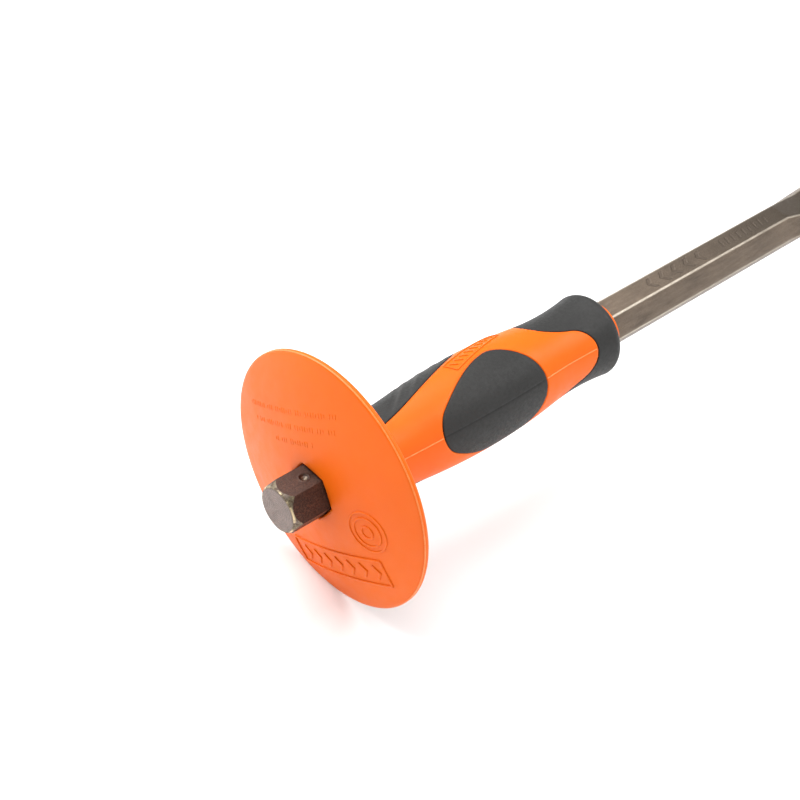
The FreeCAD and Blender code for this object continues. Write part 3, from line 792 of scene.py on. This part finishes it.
# ---- the bar ----------------------------------------------------------------------------------
def section_radius(angle, half_width, half_thick, inset, power):
    """Radius at each angle of a six-sided section: the level curve of the sum of a high power of
    its six side planes, so that a higher power gives sharper corners.  Also how near it is to a
    corner, 1 at the corner itself, and whether it is on one of the two broad faces."""
    lean = np.arctan2(half_thick, inset)
    side_reach = half_width * np.sin(lean)
    planes = [(math.pi / 2, half_thick), (-math.pi / 2, half_thick)]
    planes += [(turn + way * (math.pi / 2 - lean), side_reach) for turn in (0, math.pi) for way in (-1, 1)]
    nearness = np.array([np.maximum(0, np.cos(angle - turn) / reach) for turn, reach in planes])
    broad = nearness.argmax(axis=0) < 2
    nearness = np.sort(nearness, axis=0)
    nearest = nearness[-1]
    radius = 1 / (nearest * ((nearness / nearest) ** power).sum(axis=0) ** (1 / power))
    return radius, nearness[-2] / nearest, broad


def bar_mesh(bar):
    """The bar as sections along X.  The section goes from hexagon to flat blade, the turned
    chamfer limits its radius at the head, and a cone with a raised burr makes the stake mark."""
    flat = bar.across_flats / 2
    corner = bar.across_flats / math.sqrt(3)
    flare_x = bar.overall - bar.forging
    root_x = flare_x + bar.flare
    bevel_x = bar.overall - bar.bevel
    tiny = 0.02 * MM
    x = spaced([(0, 3.2 * MM, 0.11 * MM), (3.2 * MM, 8 * MM, 0.5 * MM), (8 * MM, 12.4 * MM, 0.14 * MM),
                (12.4 * MM, 15 * MM, 0.6 * MM), (15 * MM, 140 * MM, 12 * MM), (140 * MM, flare_x, 4 * MM),
                (flare_x, bevel_x - tiny, 0.8 * MM), (bevel_x - tiny, bar.overall - tiny, 0.3 * MM)])
    x = np.append(x, bar.overall)
    stops = [0, 14 * MM, 135 * MM, 142 * MM, flare_x, root_x, bevel_x, bar.overall]
    power = np.interp(x, stops, [260, 260, 260, 15, 15, 34, 90, 200])[:, None]
    knots = [0, flare_x, root_x, bevel_x, bar.overall]
    flat_ridge = corner / 2
    half_width = np.interp(x, knots, [corner, corner, bar.root_width / 2,
                                      bar.blade_width / 2, bar.blade_width / 2])[:, None]
    half_thick = np.interp(x, knots, [flat, flat, bar.root_thick / 2, bar.tip_thick / 2,
                                      bar.edge_thick / 2])[:, None]
    inset = np.interp(x, knots, [flat_ridge, flat_ridge, bar.root_ridge, bar.ridge, bar.ridge / 4])[:, None]
    around = 336
    angle = np.arange(around) * 2 * math.pi / around
    radius, near_corner, broad = section_radius(angle[None], half_width, half_thick, inset, power)
    face = flat - bar.face_inset
    cone = face + x[:, None] * (corner - face) / bar.face_chamfer
    turned = np.minimum(radius, cone)
    machined = np.where(cone < radius + 0.02 * MM, 0.62, 0.0)
    machined = np.where(x[:, None] > bevel_x, 1.0, machined)
    points = np.stack([np.broadcast_to(x[:, None], turned.shape), turned * np.cos(angle),
                       turned * np.sin(angle)], axis=-1)
    away = np.hypot(points[..., 0] - bar.stake_x, points[..., 1])
    on_top = points[..., 2] > flat * 0.98
    pit = bar.stake_depth * np.clip(1.12 - away / bar.stake_radius, 0, 1)
    burr = 0.10 * MM * np.exp(-((away - bar.stake_radius * 1.2) / (0.28 * MM)) ** 2)
    points[..., 2] += np.where(on_top, burr - pit, 0)
    machined = np.where(on_top & (away < bar.stake_radius * 0.75), 0.8, machined)

    face_round = 0.22 * MM
    rings = np.linspace(1, 0.03, 22)[1:]
    rows, columns = turned.shape
    dished = face_round * np.clip((rings - 0.94) / 0.06, 0, 1) ** 2
    first = points[0]
    disc = np.stack([np.broadcast_to(dished[:, None], (len(rings), columns)),
                     first[None, :, 1] * rings[:, None], first[None, :, 2] * rings[:, None]], axis=-1)
    points[0, :, 0] = face_round
    ends = np.array([[0, 0, 0], [bar.overall, 0, 0]])
    everything = np.concatenate([disc[::-1].reshape(-1, 3), points.reshape(-1, 3), ends])
    row_total = rows + len(rings)
    quads = grid_faces(row_total, columns)
    sheet = np.concatenate([quads[:, [0, 1, 2]], quads[:, [0, 2, 3]]])
    start_ring = np.arange(columns)
    end_ring = start_ring + (row_total - 1) * columns
    caps = np.concatenate([fan_faces(start_ring, row_total * columns, flip=True),
                           fan_faces(end_ring, row_total * columns + 1)])

    def with_ends(values, end_value):
        return np.concatenate([np.full(disc[..., 0].size, end_value), values.ravel(), [end_value] * 2])

    attributes = {"machined": with_ends(machined, 1.0), "corner": with_ends(near_corner, 0.0),
                  "broad": with_ends(broad, 0.0)}
    return everything, np.concatenate([sheet, caps]), attributes


# ---- raised marks -----------------------------------------------------------------------------
RIDGE_ACROSS = np.array([-0.5, -0.40, -0.2, 0.2, 0.40, 0.5])
RIDGE_RISE = np.array([-0.3, 0.75, 1.0, 1.0, 0.75, -0.3])


def raised_line(path, width, height, closed=False):
    """A low rounded ridge along a path of (u, v) points: the path's side normal carries a section
    of six points.  Returns (u, v, height) points and quads."""
    path = np.asarray(path, dtype=float)
    before = np.roll(path, 1, axis=0) if closed else np.vstack([path[:1], path[:-1]])
    after = np.roll(path, -1, axis=0) if closed else np.vstack([path[1:], path[-1:]])
    into, out = path - before, after - path
    into = np.where(np.abs(into).sum(1, keepdims=True) < 1e-12, out, into)
    out = np.where(np.abs(out).sum(1, keepdims=True) < 1e-12, into, out)
    into /= np.linalg.norm(into, axis=1, keepdims=True)
    out /= np.linalg.norm(out, axis=1, keepdims=True)
    along = into + out
    along /= np.linalg.norm(along, axis=1, keepdims=True)
    mitre = 1 / np.maximum((along * into).sum(1, keepdims=True), 0.5)
    side = np.stack([-along[:, 1], along[:, 0]], axis=1) * mitre
    across = RIDGE_ACROSS * width
    rise = RIDGE_RISE * height
    uv = path[:, None] + side[:, None] * across[None, :, None]
    points = np.concatenate([uv, np.broadcast_to(rise[None, :, None], uv.shape[:2] + (1,))], axis=-1)
    if not closed:
        points[0, :, 2] = np.minimum(points[0, :, 2], points[0, 0, 2])
        points[-1, :, 2] = np.minimum(points[-1, :, 2], points[-1, 0, 2])
        points = np.concatenate([points[:1], shrink_end(points, 0, 1), points[1:-1],
                                 shrink_end(points, -1, -2), points[-1:]])
    count = len(points)
    return points.reshape(-1, 3), grid_faces(count, len(RIDGE_RISE), closed_rows=closed)[:, ::-1]


def shrink_end(points, end, inner):
    """A section just inside the end of a ridge, at the ridge's full height."""
    near = points[end].copy()
    span = points[inner, :, :2] - near[:, :2]
    near[:, :2] += span * min(0.45, 0.2 * MM / max(np.linalg.norm(span[2]), 1e-9))
    near[:, 2] = points[end, 0, 2] / RIDGE_RISE[0] * RIDGE_RISE
    return near[None]


def join_lines(lines):
    """Many ridges as one array of points and one of quads."""
    points, faces, base = [], [], 0
    for line_verts, line_quads in lines:
        points.append(line_verts)
        faces.append(line_quads + base)
        base += len(line_verts)
    return np.concatenate(points), np.concatenate(faces)


def ring_path(centre, radius, count=48):
    angle = np.arange(count) * 2 * math.pi / count
    return np.stack([centre[0] + radius * np.cos(angle), centre[1] + radius * np.sin(angle)], axis=1)


def box_path(low, high, corner, steps=5):
    """A rectangle with rounded corners, counter-clockwise."""
    angle = np.radians(np.linspace(0, 90, steps))
    parts = []
    for index, (sx, sy) in enumerate(((1, 1), (-1, 1), (-1, -1), (1, -1))):
        centre = np.array([high[0] - corner if sx > 0 else low[0] + corner,
                           high[1] - corner if sy > 0 else low[1] + corner])
        turned = angle + index * math.pi / 2
        parts.append(centre + corner * np.stack([np.cos(turned), np.sin(turned)], axis=1))
    return np.concatenate(parts)


def dense(path, step=1.0 * MM):
    """The path with points added, so that it can follow a curved surface."""
    path = np.asarray(path, dtype=float)
    parts = [np.linspace(a, b, max(2, int(np.linalg.norm(b - a) / step) + 1))[:-1]
             for a, b in zip(path[:-1], path[1:])]
    return np.concatenate(parts + [path[-1:]])


def guard_marks(s, m):
    """Raised marks on the guard's front: a frame of chevrons below, a ring emblem beside it and
    three rows of plain ticks above."""
    lines = []
    low, high = (-m.frame_left, -m.frame_high), (m.frame_right, -m.frame_low)
    outline = box_path(low, high, 0.6 * MM)
    lines.append(raised_line(dense(np.vstack([outline, outline[:1]]))[:-1], m.line, m.height, True))
    middle = (low[1] + high[1]) / 2
    reach = (high[1] - low[1]) / 2 - 2.2 * MM
    chevrons = 7
    pitch = (high[0] - low[0] - 4 * MM) / chevrons
    for index in range(chevrons):
        tip = low[0] + 2 * MM + pitch * (index + 0.9)
        chevron = [(tip - reach * 0.8, middle + reach), (tip, middle), (tip - reach * 0.8, middle - reach)]
        lines.append(raised_line(dense(chevron), m.line * 1.1, m.height * 0.9))
    centre = (m.ring_side, -m.ring_low)
    for share in (1.0, 0.72, 0.3):
        lines.append(raised_line(ring_path(centre, m.ring_radius * share), 0.7 * MM, m.height * 0.7, True))
    lines += tick_rows()
    uvh, faces = join_lines(lines)
    radius = np.hypot(uvh[:, 0], uvh[:, 1])
    points = np.stack([dome_x(s, radius) - uvh[:, 2], -uvh[:, 0], uvh[:, 1]], axis=1)
    return points, faces


def tick_rows():
    """Three rows of plain ticks above the bar, with gaps where words would end."""
    lines = []
    pitch = 1.25 * MM
    rows = ((25.9 * MM, -26 * MM, 21.5 * MM), (21.1 * MM, -23.7 * MM, 20.6 * MM),
            (16.3 * MM, -12.5 * MM, 8.8 * MM))
    for place, start, stop in rows:
        for index in range(int((stop - start) / pitch)):
            if (index * 5 + int(place / MM)) % 13 in (0, 7):
                continue
            u = start + index * pitch
            tall = (0.95 if index % 3 else 0.65) * MM
            stroke = [(u, place - tall), (u + 0.15 * MM, place + tall)]
            lines.append(raised_line(stroke, 0.42 * MM, 0.11 * MM))
    return lines


def on_grip(s, uvh):
    """Places (x, angle from the top, height) on the grip's surface."""
    radius = grip_radius(s, uvh[:, 0]) + uvh[:, 2]
    return np.stack([uvh[:, 0], -radius * np.sin(uvh[:, 1]), radius * np.cos(uvh[:, 1])], axis=1)


def grip_label(s, m):
    """A raised frame with slanted bars, laid askew on the top of the grip."""
    half_long, half_tall = m.label_long / 2, m.label_tall / 2
    outline = box_path((-half_long, -half_tall), (half_long, half_tall), 0.5 * MM)
    lines = [raised_line(dense(np.vstack([outline, outline[:1]]))[:-1], 0.55 * MM, 0.32 * MM, True)]
    bars, end_gap = 8, 2.4 * MM
    bar_reach = half_tall - 1.3 * MM
    for index in range(bars):
        u = -half_long + end_gap + index * (m.label_long - 2 * end_gap) / (bars - 1)
        lines.append(raised_line(dense([(u - 0.8 * MM, -bar_reach), (u + 0.8 * MM, bar_reach)]),
                                 0.75 * MM, 0.3 * MM))
    uvh, faces = join_lines(lines)
    cos, sin = math.cos(m.label_angle), math.sin(m.label_angle)
    x = m.label_x + uvh[:, 0] * cos - uvh[:, 1] * sin
    round_way = uvh[:, 0] * sin + uvh[:, 1] * cos
    angle = m.label_round + round_way / s.belly_radius
    return on_grip(s, np.stack([x, angle, uvh[:, 2]], axis=1)), faces[:, ::-1]


def seam_flash(s, soft, m):
    """The mould seam's flash along the hard stretches of the thumb's side, with small lumps, and
    round the guard's rim."""
    lines = []
    for start, stop in ((s.neck_x, soft.thumb_rear), (soft.thumb_x + soft.thumb_half,
                                                       soft.tongue_x + soft.tongue_radius)):
        x = np.arange(start + 0.3 * MM, stop - 0.3 * MM, 0.5 * MM)
        angle = math.pi / 2 + 0.010 * np.sin(x * 160)
        path = np.stack([x, angle * s.belly_radius], axis=1)
        points, faces = raised_line(path, m.seam_width, m.seam_height)
        lump = 1 + 1.2 * np.exp(-((np.mod(points[:, 0], 9 * MM) - 4 * MM) / (0.6 * MM)) ** 2)
        points[:, 2] *= lump
        lines.append((points, faces))
    uvh, faces = join_lines(lines)
    uvh[:, 1] /= s.belly_radius
    along_grip = on_grip(s, uvh)
    rim = s.guard_radius - s.rim_round
    lean = math.radians(35)
    uvh, ring = raised_line(ring_path((0, 0), rim, 360), m.seam_width, m.seam_height, True)
    radius = np.hypot(uvh[:, 0], uvh[:, 1])
    over = lean - (radius - rim) / s.rim_round
    out = s.rim_round + uvh[:, 2]
    share = (rim + out * np.cos(over)) / radius
    round_rim = np.stack([s.guard_x + s.guard_rise + s.rim_round - out * np.sin(over),
                          -uvh[:, 0] * share, uvh[:, 1] * share], axis=1)
    return np.concatenate([along_grip, round_rim]), np.concatenate([faces[:, ::-1], ring + len(along_grip)])


# ---- operators --------------------------------------------------------------------------------
class CHISEL_OT_bar(bpy.types.Operator):
    """Build the steel bar with its head, stake mark and forged blade"""
    bl_idname = "chisel.bar"
    bl_label = "Steel Bar"

    def execute(self, context):
        settings = context.scene
        points, faces, attributes = bar_mesh(settings.chisel_bar_sizes)
        new_piece("steel_bar", points, faces, browned_steel(settings), "chisel_bar",
                  attributes)
        return {"FINISHED"}


class CHISEL_OT_hard_grip(bpy.types.Operator):
    """Build the hard grip with its guard, bore and recesses"""
    bl_idname = "chisel.hard_grip"
    bl_label = "Hard Grip"

    def execute(self, context):
        settings = context.scene
        s, soft = settings.chisel_grip_sizes, settings.chisel_soft_sizes
        outline, runs, run, angle, field = shared_grid(settings)
        edge = (field == 0).any(axis=0)
        inside = (field < 0).any(axis=0)
        floor = np.where(run < runs["root"], soft.skirt_sink, soft.depth)
        height = -np.where(edge, soft.crease, np.where(inside, floor, 0.0))
        points = turn_upright(outline.surface(run, angle, height).reshape(-1, 3), s.turn)
        nearest = np.take_along_axis(field, np.abs(field).argmin(axis=0)[None], 0)[0]
        faces = split_quads(grid_faces(*run.shape, closed_rows=True), nearest.ravel())
        new_piece("hard_grip", points, faces, moulded_orange(settings), "grip_body")
        return {"FINISHED"}


class CHISEL_OT_soft_pieces(bpy.types.Operator):
    """Build the palm pad with its ribs, the thumb pad and the front collar"""
    bl_idname = "chisel.soft_pieces"
    bl_label = "Soft Pieces"

    def execute(self, context):
        settings = context.scene
        s, soft = settings.chisel_grip_sizes, settings.chisel_soft_sizes
        outline, runs, run, angle, field = shared_grid(settings)
        on_skirt = np.clip((runs["neck"] - run) / (runs["neck"] - runs["root"]), 0, 1)
        ribs = palm_ribs(soft, outline.surface(run, angle), field[0])
        line = parting_line(s, run, angle, runs["lip"])
        heights = {"palm_pad": soft.skirt_proud * on_skirt + ribs, "thumb_pad": -soft.part_line * line,
                   "front_collar": 0.0 * run}
        for index, (node, height) in enumerate(heights.items()):
            # Where the painted highlight goes: the palm ribs' crests.
            crest = np.clip(ribs / soft.rib_height, 0, 1) * (node == "palm_pad")
            # Where the painted shade goes: 0.8 on each piece's edge crease, up to 0.7 along the thumb pad's
            # parting line.
            crease_shade = np.where(field[index] == 0, 0.8, 0.7 * line * (node == "thumb_pad"))
            points, faces, crest, crease_shade = soft_sheet(settings, index, height, crest, crease_shade)
            points = turn_upright(points, s.turn)
            piece = new_piece("soft_" + node, points, faces, soft_grey(settings), node,
                              {"crest_highlight": crest, "crease_shade": crease_shade})
            thicken(piece, soft.depth * 0.4)
        return {"FINISHED"}


def parting_line(s, run, angle, lip):
    """Share of the parting line's depth: 1 along the mould's split on both sides of the grip,
    falling to 0 within a grid step to either side of it."""
    off = np.abs(np.mod(angle, math.pi) - math.pi / 2)
    return np.where(run < lip, np.clip(1 - off / (2 * math.pi / s.around), 0, 1), 0.0)


def palm_ribs(soft, points, distance):
    """Height of the palm pad's ribs: rounded crests a pitch apart, which lean forward from the
    grip's top to the palm and fade out towards the pad's edge."""
    x, y = points[..., 0], points[..., 1] / MM + 1
    lean = (1.25 * y - 0.035 * y ** 2) * MM
    phase = (x - lean - soft.rib_first) / soft.rib_pitch
    crest = np.clip(1 - (np.abs(phase - np.round(phase)) / 0.30) ** 2, 0, 1) ** 1.5
    real = (np.round(phase) >= 0) & (np.round(phase) < soft.rib_count)
    fade = np.clip((-distance - 0.5 * MM) / (3.5 * MM), 0, 1)
    hollow = np.where((phase > -0.5) & (phase < soft.rib_count - 0.5), 0.6, 0)
    return soft.rib_height * (crest * np.where(real, 1, 0) - hollow) * fade


class CHISEL_OT_marks(bpy.types.Operator):
    """Build the raised marks on the guard and the grip, and the mould seam's flash"""
    bl_idname = "chisel.marks"
    bl_label = "Raised Marks"

    def execute(self, context):
        settings = context.scene
        s, soft, m = settings.chisel_grip_sizes, settings.chisel_soft_sizes, settings.chisel_mark_sizes
        made = {"guard_marks": guard_marks(s, m), "grip_label": grip_label(s, m),
                "seam_flash": seam_flash(s, soft, m)}
        for name, (points, faces) in made.items():
            plastic = seam_plastic if name == "seam_flash" else moulded_orange
            new_piece(name, turn_upright(points, s.turn), faces, plastic(settings))
        return {"FINISHED"}


class CHISEL_OT_stage(bpy.types.Operator):
    """Set the pale floor, the soft light and the camera"""
    bl_idname = "chisel.stage"
    bl_label = "Stage"

    def execute(self, context):
        scene = context.scene
        scene.view_settings.view_transform = "Standard"
        floor = pale_floor(scene)
        scene.world = white_surround(scene.chisel_stage.world)
        soft_lights(scene)
        scene.camera = placed_camera(scene)
        return {"FINISHED"}


def pale_floor(scene):
    """A plain pale floor at the lowest point of the tool."""
    half = scene.chisel_stage.floor_size / 2
    level = CAD_BOX[0][2]
    mesh = bpy.data.meshes.new("floor")
    mesh.from_pydata([(-half, -half, level), (half, -half, level), (half, half, level),
                      (-half, half, level)], [], [(0, 1, 2, 3)])
    floor = bpy.data.objects.new("floor", mesh)
    scene.collection.objects.link(floor)
    paper = Shader("pale_paper", 0.8)
    paper.paint(paper.mix(paper.noise(3, 2), (0.89, 0.89, 0.89), (0.91, 0.91, 0.91)))
    mesh.materials.append(paper.material)
    return floor


def soft_lights(scene):
    """A high sun, and three broad weak lamps: on the far side, beyond the blade, and on the near
    side."""
    centre = (0.10, 0.0, 0.0)
    for name, kind, place, size, power in (("key", "SUN", (0.06, 0.58, 1.0), 1.0, 4.2),
                                           ("side", "AREA", (-0.42, 0.82, 0.40), 0.7, 3.6),
                                           ("ridge", "AREA", (0.66, -0.29, 0.70), 0.45, 5.0),
                                           ("fill", "AREA", (0.30, -1.15, 0.45), 0.8, 2.9)):
        lamp = bpy.data.lights.new(name, kind)
        lamp.energy = power
        setattr(lamp, "angle" if kind == "SUN" else "size", size)
        light = bpy.data.objects.new(name, lamp)
        aim_at(light, place, centre)
        scene.collection.objects.link(light)


def placed_camera(scene):
    """The camera, with no shift and no depth of field."""
    stage = scene.chisel_stage
    camera = bpy.data.objects.new("camera", bpy.data.cameras.new("camera"))
    camera.data.lens = stage.lens
    camera.data.sensor_width = 36.0
    camera.data.clip_start = 0.01
    camera.location = stage.camera_place
    camera.rotation_euler = camera_turn(stage)
    scene.collection.objects.link(camera)
    return camera


def white_surround(strength):
    """A white room whose light is soft and weak, but whose walls look white."""
    world = bpy.data.worlds.new("surround")
    world.use_nodes = True
    nodes, links = world.node_tree.nodes, world.node_tree.links
    seen = nodes.new("ShaderNodeLightPath").outputs["Is Camera Ray"]
    brighter = nodes.new("ShaderNodeMapRange")
    brighter.inputs["To Min"].default_value = strength
    links.new(seen, brighter.inputs["Value"])
    nodes["Background"].inputs["Color"].default_value = (1, 1, 1, 1)
    links.new(brighter.outputs["Result"], nodes["Background"].inputs["Strength"])
    return world


def aim_at(thing, place, target):
    """Put a light at a place, facing a target."""
    thing.location = place
    thing.rotation_euler = (Vector(target) - Vector(place)).to_track_quat("-Z", "Y").to_euler()


def camera_turn(stage):
    """The camera's turn from its azimuth, elevation and roll."""
    turn = (Matrix.Rotation(stage.azimuth, 3, "Z")
            @ Matrix.Rotation(math.pi / 2 - stage.elevation, 3, "X")
            @ Matrix.Rotation(-stage.roll, 3, "Z"))
    return turn.to_euler()


class CHISEL_PT_panel(bpy.types.Panel):
    """Lists the chisel's operators"""
    bl_idname = "CHISEL_PT_panel"
    bl_label = "Cold Chisel"
    bl_space_type = "VIEW_3D"
    bl_region_type = "UI"
    bl_category = "Chisel"

    def draw(self, context):
        for operator in OPERATORS:
            self.layout.operator(operator.bl_idname)


OPERATORS = (CHISEL_OT_bar, CHISEL_OT_hard_grip, CHISEL_OT_soft_pieces, CHISEL_OT_marks, CHISEL_OT_stage)


def register():
    for cls in (*GROUPS.values(), *OPERATORS, CHISEL_PT_panel):
        bpy.utils.register_class(cls)
    for name, group in GROUPS.items():
        setattr(bpy.types.Scene, name, PointerProperty(type=group))


def unregister():
    for name in GROUPS:
        delattr(bpy.types.Scene, name)
    for cls in reversed((*GROUPS.values(), *OPERATORS, CHISEL_PT_panel)):
        bpy.utils.unregister_class(cls)


def main():
    register()
    bpy.ops.chisel.bar()
    bpy.ops.chisel.hard_grip()
    bpy.ops.chisel.soft_pieces()
    bpy.ops.chisel.marks()
    bpy.ops.chisel.stage()


if __name__ == "__main__":
    main()
